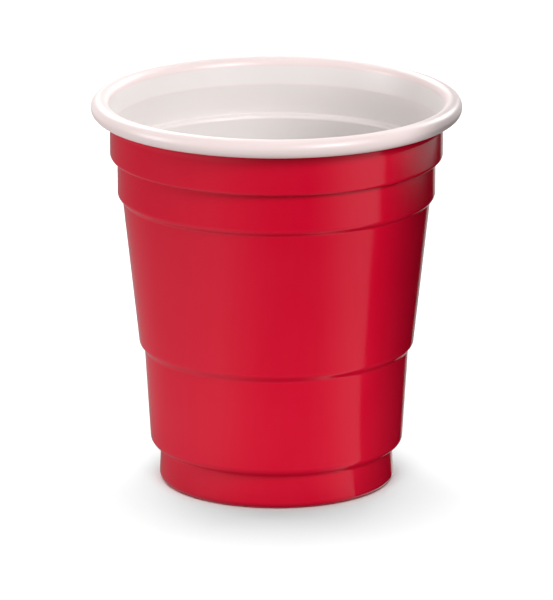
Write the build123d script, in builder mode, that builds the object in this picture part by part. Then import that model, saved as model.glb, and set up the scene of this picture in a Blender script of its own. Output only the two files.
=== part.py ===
from build123d import *
from math import asin, degrees, radians, tan
import os

# Plastic shot cup, formed from one sheet, in millimetres. It stands on the ring at the end
# of its foot: the origin is the middle of that ring, on the table, and +Z points up to the
# mouth. Every size is of the outer face of the sheet, and the inside follows by the wall.

# Sheet
wall = 0.4                  # thickness of the formed sheet

# Foot: a raised floor panel inside a flat ring, with a short wall that leans in
foot_diameter = 35.5        # widest part of the foot, at the table
foot_height = 5.1           # table to the notch under the shoulder
foot_lean = 0.28            # how far the foot's wall leans in below the shoulder
foot_bend = 0.6             # inside radius of the corner at the table
ring_width = 2.7            # standing ring, from the foot's wall to the recess
recess_height = 1.8         # table to the underside of the floor panel
recess_run = 1.0            # slope of the recess, measured inwards
recess_bend = 0.3           # inside radius of both bends of the recess

# Shoulder between the foot and the lower wall
shoulder_width = 1.54
shoulder_rise = 0.9
shoulder_bend = 0.9         # inside radius of the shoulder's own corner
notch_bend = 0.5            # outside radius of the notch below it

# Lower wall and the step above it
lower_height = 14.4
lower_draft = 3.5           # degrees from upright
lower_step_width = 0.78
lower_step_rise = 0.95
lower_step_bend = 0.7       # inside radius, shared by both bends of the step

# Main wall and the step above it
main_height = 22.2
main_draft = 6.2            # degrees from upright
upper_step_width = 0.74
upper_step_rise = 0.7
upper_step_bend = 0.5       # inside radius, shared by both bends of the step

# Two upright bands below the rim, with a sharp step between them
lower_band_height = 5.65
band_step_width = 1.1
band_step_rise = 0.25
band_step_bend = 0.15       # inside radius, shared by both bends of the step
upper_band_height = 4.8

# Rolled rim: the sheet flares, turns outwards and curls back under itself
flare_width = 0.5
flare_height = 2.85
flare_bend = 1.5            # outside radius where the flare leaves the band
bead_diameter = 2.75        # over the outside of the roll
lip_gap = 0.45              # from the end of the curl to the flare

# Radii of the outer face, worked upwards from the foot
foot_radius = foot_diameter / 2
ring_radius = foot_radius - ring_width
panel_radius = ring_radius - recess_run
notch_radius = foot_radius - foot_lean
lower_foot_radius = notch_radius + shoulder_width
lower_top_radius = lower_foot_radius + lower_height * tan(radians(lower_draft))
main_foot_radius = lower_top_radius + lower_step_width
main_top_radius = main_foot_radius + main_height * tan(radians(main_draft))
lower_band_radius = main_top_radius + upper_step_width
upper_band_radius = lower_band_radius + band_step_width
bead_start_radius = upper_band_radius + flare_width

# Heights above the table, worked upwards from the foot
shoulder_height = foot_height + shoulder_rise
lower_top_height = shoulder_height + lower_height
main_foot_height = lower_top_height + lower_step_rise
main_top_height = main_foot_height + main_height
lower_band_foot = main_top_height + upper_step_rise
lower_band_top = lower_band_foot + lower_band_height
upper_band_foot = lower_band_top + band_step_rise
upper_band_top = upper_band_foot + upper_band_height
bead_start_height = upper_band_top + flare_height

# The curl turns about the outer face of the sheet, which ends up inside the roll. It runs
# past three quarters of a circle, until its end is lip_gap from the flare.
bead_radius = bead_diameter / 2
curl_radius = bead_radius - wall
curl_sweep = 270 + degrees(asin((curl_radius - lip_gap) / bead_radius))

# Corners of the outer face from the axis to the rim, each with the radius of its bend. A
# bend about the inside of the cup has the sheet's thickness added to its inside radius.
corners = [
    ((panel_radius, recess_height), recess_bend),
    ((ring_radius, 0), recess_bend + wall),
    ((foot_radius, 0), foot_bend + wall),
    ((notch_radius, foot_height), notch_bend),
    ((lower_foot_radius, shoulder_height), shoulder_bend + wall),
    ((lower_top_radius, lower_top_height), lower_step_bend),
    ((main_foot_radius, main_foot_height), lower_step_bend + wall),
    ((main_top_radius, main_top_height), upper_step_bend),
    ((lower_band_radius, lower_band_foot), upper_step_bend + wall),
    ((lower_band_radius, lower_band_top), band_step_bend),
    ((upper_band_radius, upper_band_foot), band_step_bend + wall),
    ((upper_band_radius, upper_band_top), flare_bend),
]
panel_centre = (0, recess_height)
bead_start = (bead_start_radius, bead_start_height)

with BuildPart() as cup:
    with BuildSketch(Plane.XZ) as section:
        with BuildLine() as formed_wall:
            outer_face = FilletPolyline(
                panel_centre,
                *[point for point, bend in corners],
                bead_start,
                radius=[bend for point, bend in corners],
            )
            offset(amount=wall, side=Side.LEFT)
        make_face()
        with BuildLine() as rolled_rim:
            flare_end = outer_face @ 1
            flare_way = outer_face % 1
            inner_start = flare_end + flare_way.rotate(Axis.Z, 90) * wall
            curl_inside = JernArc(flare_end, flare_way, curl_radius, -curl_sweep)
            curl_outside = JernArc(inner_start, flare_way, bead_radius, -curl_sweep)
            Line(curl_inside @ 0, curl_outside @ 0)
            Line(curl_inside @ 1, curl_outside @ 1)
        make_face()
    revolve(axis=Axis.Z)

cup.part.label = "cup"
os.makedirs("parts", exist_ok=True)
export_step(cup.part, "parts/cup.step")
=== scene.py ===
import bpy
import math
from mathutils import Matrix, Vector


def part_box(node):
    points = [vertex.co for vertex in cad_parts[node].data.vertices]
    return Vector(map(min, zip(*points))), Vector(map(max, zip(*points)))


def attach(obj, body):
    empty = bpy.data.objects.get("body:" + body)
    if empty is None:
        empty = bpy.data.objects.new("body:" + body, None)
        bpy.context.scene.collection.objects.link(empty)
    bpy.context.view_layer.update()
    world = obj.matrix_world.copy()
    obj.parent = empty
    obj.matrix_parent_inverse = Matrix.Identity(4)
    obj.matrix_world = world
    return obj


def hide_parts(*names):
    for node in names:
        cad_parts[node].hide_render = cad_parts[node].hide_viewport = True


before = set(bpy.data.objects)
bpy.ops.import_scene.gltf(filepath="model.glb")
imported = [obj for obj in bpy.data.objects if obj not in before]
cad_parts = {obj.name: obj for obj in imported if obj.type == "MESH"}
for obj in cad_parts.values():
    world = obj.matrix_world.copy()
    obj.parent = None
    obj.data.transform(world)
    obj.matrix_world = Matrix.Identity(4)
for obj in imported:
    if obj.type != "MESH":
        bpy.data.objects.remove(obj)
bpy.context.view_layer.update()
mm = 0.001
cupLow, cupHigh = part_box("cup")
cupSize = [round(v / mm, 2) for v in cupHigh - cupLow]
print("frame loaded:", len(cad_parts), "node, cup", cupSize, "mm")


# small helpers for node trees

def addNode(tree, kind, inputs=None, **settings):
    node = tree.nodes.new(kind)
    for key, value in settings.items():
        setattr(node, key, value)
    for key, value in (inputs or {}).items():
        feed(tree, node.inputs[key], value)
    return node


def feed(tree, socket, value):
    if isinstance(value, bpy.types.NodeSocket):
        tree.links.new(value, socket)
    else:
        socket.default_value = value


def calc(tree, operation, *values, clamp=False):
    node = addNode(tree, "ShaderNodeMath", operation=operation, use_clamp=clamp)
    for socket, value in zip(node.inputs, values):
        feed(tree, socket, value)
    return node.outputs[0]


def calcWhole(tree, operation, first, second):
    node = addNode(tree, "FunctionNodeIntegerMath", {0: first, 1: second}, operation=operation)
    return node.outputs[0]


def calcVector(tree, operation, *values):
    node = addNode(tree, "ShaderNodeVectorMath", dict(enumerate(values)), operation=operation)
    return node.outputs["Value" if operation == "LENGTH" else "Vector"]


def splitXYZ(tree, vector):
    return addNode(tree, "ShaderNodeSeparateXYZ", {0: vector}).outputs


def joinXYZ(tree, x, y, z=0.0):
    return addNode(tree, "ShaderNodeCombineXYZ", {0: x, 1: y, 2: z}).outputs[0]


def mapRange(tree, value, start, end, low=0.0, high=1.0, kind="LINEAR"):
    inputs = {"Value": value, "From Min": start, "From Max": end, "To Min": low, "To Max": high}
    return addNode(tree, "ShaderNodeMapRange", inputs, interpolation_type=kind).outputs[0]


def noiseOf(tree, place, scale, detail):
    inputs = {"Vector": place, "Scale": scale, "Detail": detail}
    return addNode(tree, "ShaderNodeTexNoise", inputs).outputs[0]


def mixColour(tree, share, first, second):
    node = addNode(tree, "ShaderNodeMix", {0: share, 6: first, 7: second}, data_type="RGBA")
    return node.outputs[2]


def objectPlace(tree):
    return addNode(tree, "ShaderNodeTexCoord").outputs["Object"]


def groupSockets(tree, inputs, outputs):
    for name, kind in inputs:
        tree.interface.new_socket(name, in_out="INPUT", socket_type=kind)
    for name, kind in outputs:
        tree.interface.new_socket(name, in_out="OUTPUT", socket_type=kind)
    return tree.nodes.new("NodeGroupInput"), tree.nodes.new("NodeGroupOutput")


# cup: the line of the sheet's outer face, from the middle of the floor panel to the rim

cup = {
    # millimetres and degrees
    "wall": 0.4,
    "ringWidth": 2.7, "recessHeight": 1.8, "recessRun": 1.0, "recessBend": 0.3,
    "footDiameter": 35.5, "footHeight": 5.1, "footLean": 0.28, "footBend": 0.6,
    "shoulderWidth": 1.54, "shoulderRise": 0.9, "shoulderBend": 0.9, "notchBend": 0.5,
    "lowerHeight": 14.4, "lowerDraft": 3.5,
    "lowerStep": (0.78, 0.95), "lowerStepBend": 0.7,
    "mainHeight": 22.2, "mainDraft": 6.2,
    "upperStep": (0.74, 0.7), "upperStepBend": 0.5,
    "lowerBandHeight": 5.65, "bandDraft": 0,
    "bandStep": (1.1, 0.25), "bandStepBend": 0.15,
    "upperBandHeight": 4.8,
    "flare": (0.5, 2.85), "flareBend": 1.5,
    "beadDiameter": 2.75, "lipGap": 0.45,
    # mesh
    "segments": 144,        # round the cup
    "bendStep": 7.5,        # degrees between points of a bend
    "longestRow": 1.0,      # rows of a straight stretch
    "holdRow": 0.12,        # a row this close to each bend keeps the straight stretch straight
    "holdShare": 0.25,      # and no further along a short stretch than this
    "weld": 0.001,          # closes the seam and both poles
    # how far the formed wall wanders from round, and how fast round the cup and up it
    "ripple": 0.02, "rippleScale": 1.6, "rippleClimb": 40.0, "rippleFade": 60.0, "rippleSeed": 3.0,
    "drawnAtBends": 0.3,    # how thin the sheet is drawn at a bend, compared with the rim
    # unrolled map
    "mapEdge": 0.006,       # margin all round
    "mapLip": 0.003,        # share of the lip
}


def sheetCorners():
    wall = cup["wall"]
    x = cup["footDiameter"] / 2
    z = cup["footHeight"]
    ring = x - cup["ringWidth"]
    rows = [
        (ring - cup["recessRun"], cup["recessHeight"], cup["recessBend"]),
        (ring, 0, cup["recessBend"] + wall),
        (x, 0, cup["footBend"] + wall),
    ]
    x -= cup["footLean"]
    rows.append((x, z, cup["notchBend"]))
    x += cup["shoulderWidth"]
    z += cup["shoulderRise"]
    rows.append((x, z, cup["shoulderBend"] + wall))
    climbs = (
        ("lowerHeight", "lowerDraft", "lowerStep", "lowerStepBend"),
        ("mainHeight", "mainDraft", "upperStep", "upperStepBend"),
        ("lowerBandHeight", "bandDraft", "bandStep", "bandStepBend"),
    )
    for height, draft, step, bend in climbs:
        x += cup[height] * math.tan(math.radians(cup[draft]))
        z += cup[height]
        rows.append((x, z, cup[bend]))
        x += cup[step][0]
        z += cup[step][1]
        rows.append((x, z, cup[bend] + wall))
    z += cup["upperBandHeight"]
    rows.append((x, z, cup["flareBend"]))
    beadStart = (x + cup["flare"][0], z + cup["flare"][1])
    return rows, beadStart


def arcPoints(centre, radius, start, sweep):
    count = max(2, math.ceil(abs(math.degrees(sweep)) / cup["bendStep"]))
    turns = [start + sweep * k / count for k in range(count + 1)]
    return [centre + radius * Vector((math.cos(t), math.sin(t))) for t in turns]


def straightPoints(start, end):
    length = (end - start).length
    hold = min(cup["holdRow"], length * cup["holdShare"])
    between = length - 2 * hold
    count = max(1, math.ceil(between / cup["longestRow"]))
    steps = [hold + between * k / count for k in range(count + 1)]
    return [start.lerp(end, s / length) for s in steps]


def bendPoints(before, corner, after, radius):
    into = (corner - before).normalized()
    out = (after - corner).normalized()
    turn = -into.angle_signed(out)
    reach = radius * math.tan(abs(turn) / 2)
    normal = Vector((-into.y, into.x)) * math.copysign(1, turn)
    start = corner - into * reach
    centre = start + normal * radius
    first = start - centre
    return arcPoints(centre, radius, math.atan2(first.y, first.x), turn)


# the rim curls outwards about the outer face, until its lip is nearly back at the flare
def rimPoints(before, start):
    bead = cup["beadDiameter"] / 2
    curl = bead - cup["wall"]
    way = (start - before).normalized()
    centre = start + Vector((way.y, -way.x)) * curl
    first = start - centre
    threeQuarters = math.radians(270)
    sweep = threeQuarters + math.asin((curl - cup["lipGap"]) / bead)
    return arcPoints(centre, curl, math.atan2(first.y, first.x), -sweep)


# each point of the line, with how thin the sheet is drawn there; the curl of the rim gets the full share,
# which on the white face also paints red bounce light as a pink tint
def sheetLine():
    corners, beadStart = sheetCorners()
    places = [Vector((0, cup["recessHeight"]))]
    places += [Vector((x, z)) for x, z, radius in corners]
    places.append(Vector(beadStart))
    line = [(places[0], 0)]
    last = places[0]
    for k, (x, z, radius) in enumerate(corners, 1):
        bend = bendPoints(places[k - 1], places[k], places[k + 1], radius)
        line += [(p, 0) for p in straightPoints(last, bend[0])]
        line += [(p, cup["drawnAtBends"]) for p in bend]
        last = bend[-1]
    line += [(p, 0) for p in straightPoints(last, places[-1])]
    line += [(p, 1) for p in rimPoints(places[-2], places[-1])]
    return line


def makeSheetLine():
    line = sheetLine()
    reach = [0]
    for (before, drawn), (after, drawn) in zip(line, line[1:]):
        reach.append(reach[-1] + (after - before).length)
    mesh = bpy.data.meshes.new("sheetLine")
    points = [(p.x * mm, 0, p.y * mm) for p, drawn in line]
    edges = [(k, k + 1) for k in range(len(line) - 1)]
    mesh.from_pydata(points, edges, [])
    values = {
        "drawn": [drawn for p, drawn in line],
        "along": [r / reach[-1] for r in reach],
    }
    for name, numbers in values.items():
        mesh.attributes.new(name, "FLOAT", "POINT").data.foreach_set("value", numbers)
    piece = bpy.data.objects.new("cupSheet", mesh)
    bpy.context.scene.collection.objects.link(piece)
    print("sheet line:", len(line), "points")
    return piece


# skins the line on both sides and turns it round the axis

def makeSheetTree():
    tree = bpy.data.node_groups.new("turnedSheet", "GeometryNodeTree")
    sizes = ("Wall", "Ripple", "Ripple Scale", "Ripple Climb", "Ripple Fade", "Ripple Seed",
             "Weld", "Map Edge", "Map Lip")
    inputs = [("Line", "NodeSocketGeometry"), ("Segments", "NodeSocketInt")]
    inputs += [(name, "NodeSocketFloat") for name in sizes]
    inputs += [(name, "NodeSocketMaterial") for name in ("Outside", "Inside")]
    group, result = groupSockets(tree, inputs, [("Cup", "NodeSocketGeometry")])
    given = group.outputs
    line = given["Line"]

    def onLine(value, at, kind):
        inputs = {"Geometry": line, "Value": value, "Index": at}
        settings = {"data_type": kind, "domain": "POINT", "clamp": True}
        return addNode(tree, "GeometryNodeSampleIndex", inputs, **settings).outputs[0]

    def pick(switch, no, yes, kind):
        inputs = {"Switch": switch, "False": no, "True": yes}
        return addNode(tree, "GeometryNodeSwitch", inputs, input_type=kind).outputs[0]

    def perPoint(value, kind):
        settings = {"data_type": kind, "domain": "POINT"}
        return addNode(tree, "GeometryNodeFieldOnDomain", {"Value": value}, **settings).outputs[0]

    def stored(name, kind):
        return addNode(tree, "GeometryNodeInputNamedAttribute", {"Name": name}, data_type=kind).outputs[0]

    def store(mesh, name, value, kind, domain):
        inputs = {"Geometry": mesh, "Name": name, "Value": value}
        settings = {"data_type": kind, "domain": domain}
        return addNode(tree, "GeometryNodeStoreNamedAttribute", inputs, **settings).outputs[0]

    # rows run out along the outer face and back along the inner one
    counted = addNode(tree, "GeometryNodeAttributeDomainSize", {"Geometry": line}, component="MESH")
    count = counted.outputs["Point Count"]
    rows = calcWhole(tree, "MULTIPLY", count, 2)
    columns = calcWhole(tree, "ADD", given["Segments"], 1)
    grid = addNode(tree, "GeometryNodeMeshGrid", {"Vertices X": rows, "Vertices Y": columns}).outputs
    index = addNode(tree, "GeometryNodeInputIndex").outputs[0]
    row = calcWhole(tree, "DIVIDE_FLOOR", index, columns)
    column = calcWhole(tree, "MODULO", index, columns)
    compared = {"data_type": "INT", "operation": "GREATER_EQUAL"}
    back = addNode(tree, "FunctionNodeCompare", {2: row, 3: count}, **compared).outputs[0]
    lastRow = calcWhole(tree, "SUBTRACT", rows, 1)
    place = pick(back, row, calcWhole(tree, "SUBTRACT", lastRow, row), "INT")

    position = addNode(tree, "GeometryNodeInputPosition").outputs[0]
    here = onLine(position, place, "FLOAT_VECTOR")
    ahead = onLine(position, calcWhole(tree, "ADD", place, 1), "FLOAT_VECTOR")
    behind = onLine(position, calcWhole(tree, "SUBTRACT", place, 1), "FLOAT_VECTOR")
    tangent = calcVector(tree, "NORMALIZE", calcVector(tree, "SUBTRACT", ahead, behind))
    inwards = calcVector(tree, "CROSS_PRODUCT", tangent, (0, 1, 0))
    depth = calc(tree, "MULTIPLY", back, given["Wall"])
    skin = calcVector(tree, "ADD", here, calcVector(tree, "MULTIPLY", inwards, depth))
    radius, aside, height = splitXYZ(tree, skin)

    # a slow wander of the radius, none at the middle of the floor
    angle = calc(tree, "DIVIDE", calc(tree, "MULTIPLY", column, math.tau), given["Segments"])
    cosine = calc(tree, "COSINE", angle)
    sine = calc(tree, "SINE", angle)
    around = joinXYZ(tree, cosine, sine, calc(tree, "MULTIPLY", height, given["Ripple Climb"]))
    noiseInputs = {
        "Vector": around, "W": given["Ripple Seed"], "Scale": given["Ripple Scale"], "Detail": 1.0,
    }
    noise = addNode(tree, "ShaderNodeTexNoise", noiseInputs, noise_dimensions="4D").outputs[0]
    wander = calc(tree, "MULTIPLY", calc(tree, "SUBTRACT", noise, 0.5), given["Ripple"])
    share = calc(tree, "MULTIPLY", radius, given["Ripple Fade"], clamp=True)
    rippled = calc(tree, "MULTIPLY_ADD", wander, share, radius)
    x = calc(tree, "MULTIPLY", rippled, cosine)
    y = calc(tree, "MULTIPLY", rippled, sine)
    shapeInputs = {"Geometry": grid["Mesh"], "Position": joinXYZ(tree, x, y, height)}
    mesh = addNode(tree, "GeometryNodeSetPosition", shapeInputs).outputs[0]

    # how thin the sheet is drawn, for the materials, which on the white rim also carries painted red
    # bounce light
    drawn = onLine(stored("drawn", "FLOAT"), place, "FLOAT")
    mesh = store(mesh, "drawn", drawn, "FLOAT", "POINT")

    # unrolled map: round the cup, and up the outer face, over the lip and down inside
    half = calc(tree, "DIVIDE", calc(tree, "SUBTRACT", 1.0, given["Map Lip"]), 2.0)
    climb = calc(tree, "MULTIPLY", onLine(stored("along", "FLOAT"), place, "FLOAT"), half)
    descent = calc(tree, "SUBTRACT", 1.0, climb)
    upMap = perPoint(pick(back, climb, descent, "FLOAT"), "FLOAT")
    acrossMap = splitXYZ(tree, grid["UV Map"])[1]
    bothEdges = calc(tree, "MULTIPLY", given["Map Edge"], 2.0)
    held = calc(tree, "SUBTRACT", 1.0, bothEdges)
    u = calc(tree, "MULTIPLY_ADD", acrossMap, held, given["Map Edge"])
    v = calc(tree, "MULTIPLY_ADD", upMap, held, given["Map Edge"])
    mesh = store(mesh, "OFBake", joinXYZ(tree, u, v), "FLOAT2", "CORNER")

    outer = addNode(tree, "FunctionNodeBooleanMath", {0: perPoint(back, "BOOLEAN")}, operation="NOT")
    mesh = store(mesh, "outside", outer.outputs[0], "BOOLEAN", "FACE")
    mesh = addNode(tree, "GeometryNodeFlipFaces", {"Mesh": mesh}).outputs[0]
    weldInputs = {"Geometry": mesh, "Distance": given["Weld"]}
    mesh = addNode(tree, "GeometryNodeMergeByDistance", weldInputs).outputs[0]
    mesh = addNode(tree, "GeometryNodeSetShadeSmooth", {"Geometry": mesh}).outputs[0]
    mesh = addNode(tree, "GeometryNodeRealizeInstances", {"Geometry": mesh}).outputs[0]
    whiteInputs = {"Geometry": mesh, "Material": given["Inside"]}
    mesh = addNode(tree, "GeometryNodeSetMaterial", whiteInputs).outputs[0]
    redInputs = {"Geometry": mesh, "Selection": stored("outside", "BOOLEAN"), "Material": given["Outside"]}
    mesh = addNode(tree, "GeometryNodeSetMaterial", redInputs).outputs[0]
    feed(tree, result.inputs["Cup"], mesh)
    return tree


def makeCup(outside, inside):
    piece = makeSheetLine()
    tree = makeSheetTree()
    modifier = piece.modifiers.new("turnedSheet", "NODES")
    modifier.node_group = tree
    values = {
        "Segments": cup["segments"],
        "Wall": cup["wall"] * mm,
        "Ripple": cup["ripple"] * mm,
        "Ripple Scale": cup["rippleScale"],
        "Ripple Climb": cup["rippleClimb"],
        "Ripple Fade": cup["rippleFade"],
        "Ripple Seed": cup["rippleSeed"],
        "Weld": cup["weld"] * mm,
        "Map Edge": cup["mapEdge"],
        "Map Lip": cup["mapLip"],
        "Outside": outside,
        "Inside": inside,
    }
    for item in tree.interface.items_tree:
        if item.in_out == "INPUT" and item.name in values:
            modifier[item.identifier] = values[item.name]
    evaluated = piece.evaluated_get(bpy.context.evaluated_depsgraph_get())
    mesh = bpy.data.meshes.new_from_object(evaluated)
    piece.modifiers.remove(modifier)
    line = piece.data
    piece.data = mesh
    bpy.data.meshes.remove(line)
    mesh.name = "cupSheet"
    if mesh.materials[0] is None:
        mesh.materials.pop(index=0)
    triangles = sum(len(p.vertices) - 2 for p in mesh.polygons)
    materials = [m.name for m in mesh.materials]
    print("cup:", len(mesh.vertices), "vertices,", triangles, "triangles,", materials)
    return piece


# finish for both faces of the sheet: slow clouds in the colour, streaks drawn up the wall and a fine peel

formedFinish = {
    "cloudDetail": 3.0, "streakDetail": 2.0, "peelDetail": 1.0,
    "streakClimb": 4.0,     # how fast a streak changes up the wall
    "streakShare": 0.6, "peelShare": 0.4,
}


def makeFormedFinish():
    tree = bpy.data.node_groups.new("formedFinish", "ShaderNodeTree")
    inputs = [(name, "NodeSocketFloat") for name in ("Cloud Scale", "Streak Scale", "Peel Scale")]
    outputs = [(name, "NodeSocketFloat") for name in ("Cloud", "Streak", "Height")]
    group, result = groupSockets(tree, inputs, outputs)
    given = group.outputs
    place = objectPlace(tree)
    cloud = noiseOf(tree, place, given["Cloud Scale"], formedFinish["cloudDetail"])
    x, y, z = splitXYZ(tree, place)
    around = splitXYZ(tree, calcVector(tree, "NORMALIZE", joinXYZ(tree, x, y)))
    climb = calc(tree, "MULTIPLY", z, formedFinish["streakClimb"])
    streakPlace = joinXYZ(tree, around[0], around[1], climb)
    streak = noiseOf(tree, streakPlace, given["Streak Scale"], formedFinish["streakDetail"])
    peel = noiseOf(tree, place, given["Peel Scale"], formedFinish["peelDetail"])
    peelHeight = calc(tree, "MULTIPLY", peel, formedFinish["peelShare"])
    height = calc(tree, "MULTIPLY_ADD", streak, formedFinish["streakShare"], peelHeight)
    for name, value in (("Cloud", cloud), ("Streak", streak), ("Height", height)):
        feed(tree, result.inputs[name], value)
    return tree


redSheet = {
    "colour": (0.57, 0.0015, 0.0225), "thinAndBlush": (0.61, 0.008, 0.036), "drawnAndBlushTint": 0.5,
    "cloud": 0.5, "cloudFrom": 0.4, "cloudScale": 110, "streakScale": 26, "peelScale": 1500,
    "roughness": (0.1, 0.18), "specular": 0.5, "peel": 0.03, "peelDepth": 0.2,
    # the colour that the paper gets back, from this far off in millimetres
    "bounce": (0.16, 0.15, 0.15), "bounceFrom": (0.8, 2.5),
}
whiteSheet = {
    # the pink of its rim is partly the red face showing through and partly painted red bounce light
    "colour": (0.75, 0.712, 0.698), "thinAndBlush": (0.8, 0.585, 0.575), "drawnAndBlushTint": 0.45,
    "cloud": 0.15, "cloudFrom": 0.4, "cloudScale": 110, "streakScale": 26, "peelScale": 1500,
    "roughness": (0.28, 0.38), "specular": 0.5, "peel": 0.02, "peelDepth": 0.2,
    "bounce": None,
}


def makeSheetMaterial(name, look, finish):
    material = bpy.data.materials.new(name)
    material.use_nodes = True
    tree = material.node_tree
    shader = tree.nodes["Principled BSDF"].inputs
    scales = {
        "Cloud Scale": look["cloudScale"],
        "Streak Scale": look["streakScale"],
        "Peel Scale": look["peelScale"],
    }
    formed = addNode(tree, "ShaderNodeGroup", scales, node_tree=finish).outputs
    # where the sheet is drawn thin, the other face shows through a little; on the white rim this pink tint
    # is also painted red bounce light
    drawn = addNode(tree, "ShaderNodeAttribute", attribute_name="drawn").outputs["Fac"]
    clouds = calc(tree, "SUBTRACT", formed["Cloud"], look["cloudFrom"])
    cloudy = calc(tree, "MULTIPLY", clouds, look["cloud"], clamp=True)
    thinAndBlush = calc(tree, "MULTIPLY_ADD", drawn, look["drawnAndBlushTint"], cloudy, clamp=True)
    pigmentAndBlush = mixColour(tree, thinAndBlush, (*look["colour"], 1), (*look["thinAndBlush"], 1))
    if look["bounce"]:
        # keeps the shadow on the paper grey, and the blush under the rim
        path = addNode(tree, "ShaderNodeLightPath").outputs
        near, far = [d * mm for d in look["bounceFrom"]]
        away = mapRange(tree, path["Ray Length"], near, far)
        grey = calc(tree, "MULTIPLY", path["Is Diffuse Ray"], away)
        pigmentAndBlush = mixColour(tree, grey, pigmentAndBlush, (*look["bounce"], 1))
    low, high = look["roughness"]
    dull = calc(tree, "MULTIPLY_ADD", formed["Streak"], high - low, low)
    bumpInputs = {"Height": formed["Height"], "Strength": look["peel"], "Distance": look["peelDepth"] * mm}
    bump = addNode(tree, "ShaderNodeBump", bumpInputs).outputs[0]
    values = {
        "Base Color": pigmentAndBlush,
        "Roughness": dull,
        "Specular IOR Level": look["specular"],
        "Normal": bump,
    }
    for socket, value in values.items():
        feed(tree, shader[socket], value)
    return material


# studio: white paper that fades into a white background, with softboxes all round

aim = Vector((0, 0, 0.0275))    # middle of the cup, for the camera and the softboxes


def mixShader(tree, share, first, second):
    return addNode(tree, "ShaderNodeMixShader", {0: share, 1: first.outputs[0], 2: second.outputs[0]})


def setSurface(tree, shader):
    output = addNode(tree, "ShaderNodeOutputMaterial")
    feed(tree, output.inputs["Surface"], shader.outputs[0])


# what the camera sees, straight or through gloss and glass
def seenDirectly(tree):
    path = addNode(tree, "ShaderNodeLightPath").outputs
    seen = path["Is Camera Ray"]
    for name in ("Is Glossy Ray", "Is Transmission Ray"):
        seen = calc(tree, "MAXIMUM", seen, path[name])
    return seen


paperFloor = {
    "radius": 0.5, "sides": 96, "fadeFrom": 0.16, "fadeTo": 0.42,
    "colour": (0.85, 0.85, 0.85),
    # what it throws up on the cup: how much, and where in millimetres from the axis
    "throwNear": (0.3, 17), "throwFar": (1.25, 34),
    "throwOut": (0.42, 45, 100), "throwRight": (0.45, 20, 70),
}


def makeFloor():
    sides = paperFloor["sides"]
    bpy.ops.mesh.primitive_circle_add(vertices=sides, radius=paperFloor["radius"], fill_type="NGON")
    floor = bpy.context.object
    floor.name = "floor"
    material = bpy.data.materials.new("paperFloor")
    material.use_nodes = True
    tree = material.node_tree
    tree.nodes.clear()
    place = objectPlace(tree)
    away = calcVector(tree, "LENGTH", place)
    across = splitXYZ(tree, place)[0]
    lit = addNode(tree, "ShaderNodeBsdfDiffuse", {"Color": (*paperFloor["colour"], 1)})
    # less is thrown from close to the foot, from far out and from the right
    low, start = paperFloor["throwNear"]
    high, end = paperFloor["throwFar"]
    throw = mapRange(tree, away, start * mm, end * mm, low, high)
    for reach, (share, start, end) in ((away, paperFloor["throwOut"]), (across, paperFloor["throwRight"])):
        less = mapRange(tree, reach, start * mm, end * mm, 1.0, share)
        throw = calc(tree, "MULTIPLY", throw, less)
    thrown = addNode(tree, "ShaderNodeEmission", {"Strength": throw})
    paper = mixShader(tree, seenDirectly(tree), thrown, lit)
    fade = mapRange(tree, away, paperFloor["fadeFrom"], paperFloor["fadeTo"], kind="SMOOTHSTEP")
    clear = addNode(tree, "ShaderNodeBsdfTransparent")
    setSurface(tree, mixShader(tree, fade, paper, clear))
    floor.data.materials.append(material)
    return floor


room = {"white": 1.0, "ambient": 0.36, "ambientLean": -0.2}    # a little darker on the right


def makeWorld():
    world = bpy.data.worlds.new("studio")
    bpy.context.scene.world = world
    world.use_nodes = True
    tree = world.node_tree
    tree.nodes.clear()
    way = addNode(tree, "ShaderNodeTexCoord").outputs["Generated"]
    across = splitXYZ(tree, way)[0]
    ambient = calc(tree, "MULTIPLY_ADD", across, room["ambientLean"], room["ambient"])
    strength = mapRange(tree, seenDirectly(tree), 0.0, 1.0, ambient, room["white"])
    background = addNode(tree, "ShaderNodeBackground", {"Color": (1, 1, 1, 1), "Strength": strength})
    output = addNode(tree, "ShaderNodeOutputWorld")
    feed(tree, output.inputs["Surface"], background.outputs[0])


softboxes = {
    # name: place and size in metres, radiance, what it lights and what shades it
    "frontSoftbox": ((0.515, -0.66, 0.575), (0.45, 0.4), 14.1, "cup", "all"),
    "leftSoftbox": ((-0.97, -0.171, 0.2), (0.4, 0.5), 6.8, "cup", "cup"),
    "backSoftbox": ((-0.28, 0.77, 0.6), (0.5, 0.4), 6, "cup", "cup"),
    "rightSoftbox": ((0.506, 0.723, 0.5), (0.4, 0.4), 7.5, "cup", "cup"),
    "paperTop": ((0, 0.165, 0.85), (0.5, 0.6), 5.2, "paper", "cup"),
    "paperLeft": ((-0.41, 0.41, 0.69), (0.6, 0.6), 2.3, "paper", "cup"),
    "paperRight": ((0.41, 0.41, 0.69), (0.6, 0.6), 2.3, "paper", "cup"),
    "paperFront": ((0, -0.6, 0.75), (0.5, 0.4), 7, "paper", "cup"),
}
# a narrow beam straight down, which stays inside the rim and reaches the floor of the cup
beam = {"height": 0.85, "cone": 3.0, "blend": 0.6, "radius": 0.02, "power": 9}


def makeLightSets(floor, sheet):
    sets = {"all": None}
    for name, piece in (("paper", floor), ("cup", sheet)):
        sets[name] = bpy.data.collections.new(name)
        sets[name].objects.link(piece)
    return sets


def addLamp(name, kind, place, lit, shades):
    lamp = bpy.data.objects.new(name, bpy.data.lights.new(name, kind))
    bpy.context.scene.collection.objects.link(lamp)
    lamp.location = place
    lamp.light_linking.receiver_collection = lit
    lamp.light_linking.blocker_collection = shades
    return lamp


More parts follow.
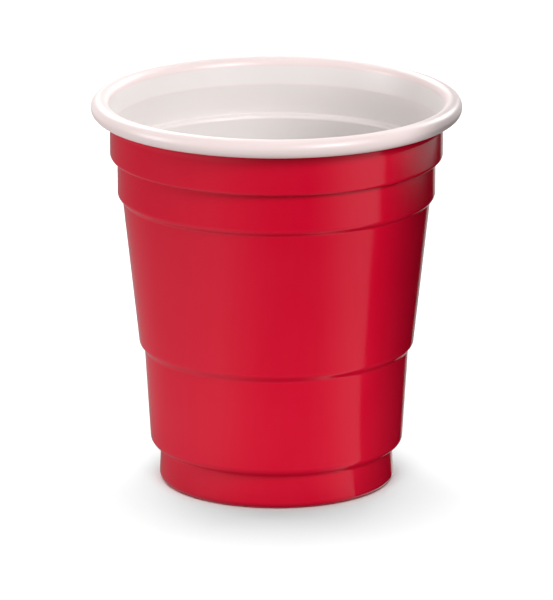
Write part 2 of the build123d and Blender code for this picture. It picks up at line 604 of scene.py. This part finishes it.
def makeLamps(sets):
    for name, (place, size, radiance, lit, shades) in softboxes.items():
        lamp = addLamp(name, "AREA", place, sets[lit], sets[shades])
        lamp.rotation_euler = (aim - Vector(place)).to_track_quat("-Z", "Y").to_euler()
        lamp.data.shape = "RECTANGLE"
        lamp.data.size, lamp.data.size_y = size
        lamp.data.energy = radiance * math.pi * size[0] * size[1]
    lamp = addLamp("beam", "SPOT", (0, 0, beam["height"]), sets["cup"], sets["cup"])
    lamp.data.energy = beam["power"]
    lamp.data.spot_size = math.radians(beam["cone"])
    lamp.data.spot_blend = beam["blend"]
    lamp.data.shadow_soft_size = beam["radius"]


# cards beside the cup that the camera doesn't see

def offStage(name, mesh, seenBy):
    piece = bpy.data.objects.new(name, mesh)
    bpy.context.scene.collection.objects.link(piece)
    for ray in ("camera", "diffuse", "glossy", "transmission", "volume_scatter", "shadow"):
        setattr(piece, "visible_" + ray, ray == seenBy)
    material = bpy.data.materials.new(name)
    material.use_nodes = True
    material.node_tree.nodes.clear()
    mesh.materials.append(material)
    return material.node_tree


# a flag at the right keeps part of the front light off that side of the cup, in millimetres
flag = {"x": 31, "y": (-30, 60), "z": (0, 68), "colour": (0, 0, 0)}


def makeFlag():
    x = flag["x"] * mm
    near, far = [y * mm for y in flag["y"]]
    low, high = [z * mm for z in flag["z"]]
    corners = [(x, near, low), (x, far, low), (x, far, high), (x, near, high)]
    mesh = bpy.data.meshes.new("flag")
    mesh.from_pydata(corners, [], [range(len(corners))])
    tree = offStage("flag", mesh, "shadow")
    setSurface(tree, addNode(tree, "ShaderNodeBsdfDiffuse", {"Color": (*flag["colour"], 1)}))


# what the gloss of the wall mirrors on the table: a pale sheet on each side and a dark card at the right
glossSheets = {
    # shades: degrees from the front, to the right, and how bright the sheet is there
    # near and far: how bright it is at the foot and far out, compared with the stretch between
    "leftSheet": {
        "shades": ((-180, 0.42), (-135, 0.28), (-100, 0.28), (-77, 0.36), (-42, 0.42), (-12, 0.1),
                   (0, 0.04), (20, 0.03), (26, 0.08)),
        "near": (0.6, 17, 45), "far": (0.65, 110, 170),
    },
    "rightSheet": {
        "shades": ((26, 0.06), (32, 0.11), (52, 0.46), (62, 0.53), (150, 0.45), (180, 0.42)),
        "near": (1.5, 17, 36), "far": (1.35, 110, 170),
    },
}
glossReach = {"inner": 17, "outer": 320, "lift": 0.3, "steps": 48}
darkCard = {
    # the front edge is what the wall mirrors 40 degrees round from the front
    "corners": ((11.8, -13.1), (28, -15.8), (60, -23.4), (95.6, -32), (171, -45.7), (260, -62),
                (112, 233), (17.8, -2)),
    "lift": 0.6, "colour": (0, 0, 0),
}


def makeGlossSheet(name, look):
    first = look["shades"][0][0]
    last = look["shades"][-1][0]
    steps = glossReach["steps"]
    turns = [math.radians(first + (last - first) * k / steps) for k in range(steps + 1)]
    radii = (glossReach["inner"] * mm, glossReach["outer"] * mm)
    lift = glossReach["lift"] * mm
    points = [(r * math.sin(t), -r * math.cos(t), lift) for r in radii for t in turns]
    faces = [(k, k + steps + 1, k + steps + 2, k + 1) for k in range(steps)]
    mesh = bpy.data.meshes.new(name)
    mesh.from_pydata(points, [], faces)
    tree = offStage(name, mesh, "glossy")
    place = objectPlace(tree)
    x, y, z = splitXYZ(tree, place)
    turn = calc(tree, "ARCTAN2", x, calc(tree, "MULTIPLY", y, -1.0))
    ramp = addNode(tree, "ShaderNodeValToRGB", {0: mapRange(tree, turn, turns[0], turns[-1])})
    stops = ramp.color_ramp.elements
    while len(stops) < len(look["shades"]):
        stops.new(1.0)
    for stop, (degrees, shade) in zip(stops, look["shades"]):
        stop.position = (degrees - first) / (last - first)
        stop.color = (shade, shade, shade, 1)
    away = calcVector(tree, "LENGTH", place)
    shade, start, end = look["near"]
    near = mapRange(tree, away, start * mm, end * mm, shade, 1.0)
    shade, start, end = look["far"]
    far = mapRange(tree, away, start * mm, end * mm, 1.0, shade)
    glow = {"Color": ramp.outputs[0], "Strength": calc(tree, "MULTIPLY", near, far)}
    setSurface(tree, addNode(tree, "ShaderNodeEmission", glow))


def makeDarkCard():
    mesh = bpy.data.meshes.new("darkCard")
    corners = [(x * mm, y * mm, darkCard["lift"] * mm) for x, y in darkCard["corners"]]
    mesh.from_pydata(corners, [], [range(len(corners))])
    tree = offStage("darkCard", mesh, "glossy")
    setSurface(tree, addNode(tree, "ShaderNodeEmission", {"Color": (*darkCard["colour"], 1)}))


cameraView = {"elevation": 15.6, "distance": 0.934, "lens": 372, "clip": (0.01, 20)}


def makeCamera():
    data = bpy.data.cameras.new("camera")
    data.lens = cameraView["lens"]
    data.clip_start, data.clip_end = cameraView["clip"]
    camera = bpy.data.objects.new("camera", data)
    bpy.context.scene.collection.objects.link(camera)
    tilt = math.radians(cameraView["elevation"])
    away = Vector((0, -math.cos(tilt), math.sin(tilt)))
    camera.location = aim + away * cameraView["distance"]
    camera.rotation_euler = (-away).to_track_quat("-Z", "Y").to_euler()
    bpy.context.scene.camera = camera


makeCamera()
makeWorld()
floor = makeFloor()
makeFlag()
for name, look in glossSheets.items():
    makeGlossSheet(name, look)
makeDarkCard()
print("studio ready")

finish = makeFormedFinish()
redMaterial = makeSheetMaterial("redSheet", redSheet, finish)
whiteMaterial = makeSheetMaterial("whiteSheet", whiteSheet, finish)
sheet = makeCup(redMaterial, whiteMaterial)
makeLamps(makeLightSets(floor, sheet))
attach(sheet, "root")
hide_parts("cup")
print("cup and lamps ready")

bpy.context.scene.view_settings.view_transform = "Standard"
